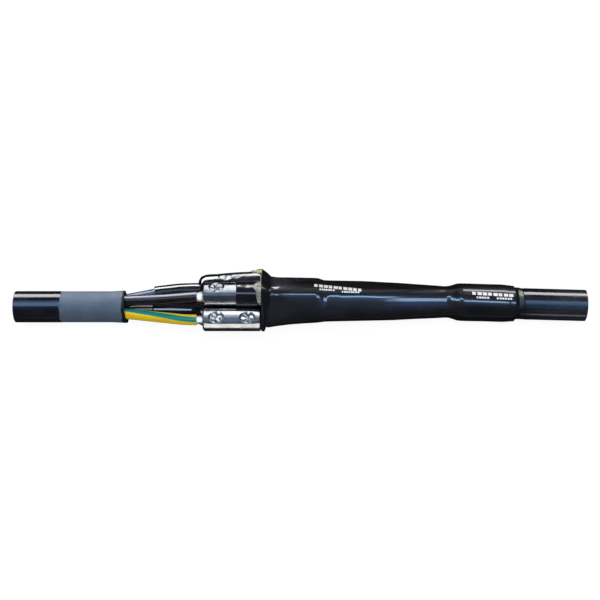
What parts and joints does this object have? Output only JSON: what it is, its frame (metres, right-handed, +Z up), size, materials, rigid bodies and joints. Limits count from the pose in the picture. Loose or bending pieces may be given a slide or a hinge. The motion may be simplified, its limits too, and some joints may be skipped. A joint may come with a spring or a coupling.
{
  "type": "heat shrink cable joint",
  "caption": "Straight heat shrink joint for a four-core low-voltage power cable, cut away on one side to show cores, sleeves and shear bolt connectors.",
  "frame": {"origin": "centre of the left cable's cut end, on the cable axis", "axes": "+X runs along the joint from the left cable to the right one, +Z is up as the joint lies, +Y completes the right-handed set and points to the back, where the blue core runs"},
  "size_m": [0.7115, 0.0785, 0.0674],
  "materials": {
    "sheath": "glossy black sheath, matt grey where it is abraded",
    "filling": "matt dark filling",
    "core_blue": "glossy blue insulation",
    "core_black": "glossy black insulation",
    "core_brown": "glossy brown insulation",
    "core_earth": "glossy green insulation with yellow stripes",
    "conductor": "bright stranded aluminium",
    "connector": "satin tinned aluminium",
    "bolt": "satin, torn where the head sheared off",
    "sleeve": "glossy black shrunk sleeve",
    "tube": "glossy black thick-wall shrunk tube",
    "adhesive": "translucent yellowish hot-melt"
  },
  "bodies": {
    "root": {"left_sheath": "sheath", "left_filling": "filling", "right_sheath": "sheath", "right_filling": "filling", "left_core_blue": "core_blue", "left_core_black": "core_black", "left_core_brown": "core_brown", "left_core_earth": "core_earth", "left_conductor_blue": "conductor", "left_conductor_black": "conductor", "left_conductor_brown": "conductor", "left_conductor_earth": "conductor", "right_core_blue": "core_blue", "right_core_black": "core_black", "right_core_brown": "core_brown", "right_core_earth": "core_earth", "right_conductor_blue": "conductor", "right_conductor_black": "conductor", "right_conductor_brown": "conductor", "right_conductor_earth": "conductor", "connector_blue": "connector", "connector_black": "connector", "connector_brown": "connector", "connector_earth": "connector", "shear_bolts": "bolt", "sleeve_blue": "sleeve", "sleeve_black": "sleeve", "sleeve_brown": "sleeve", "outer_tube": "tube", "adhesive_lip_top": "adhesive", "adhesive_lip_front": "adhesive", "adhesive_bead": "adhesive"}
  },
  "joints": []
}
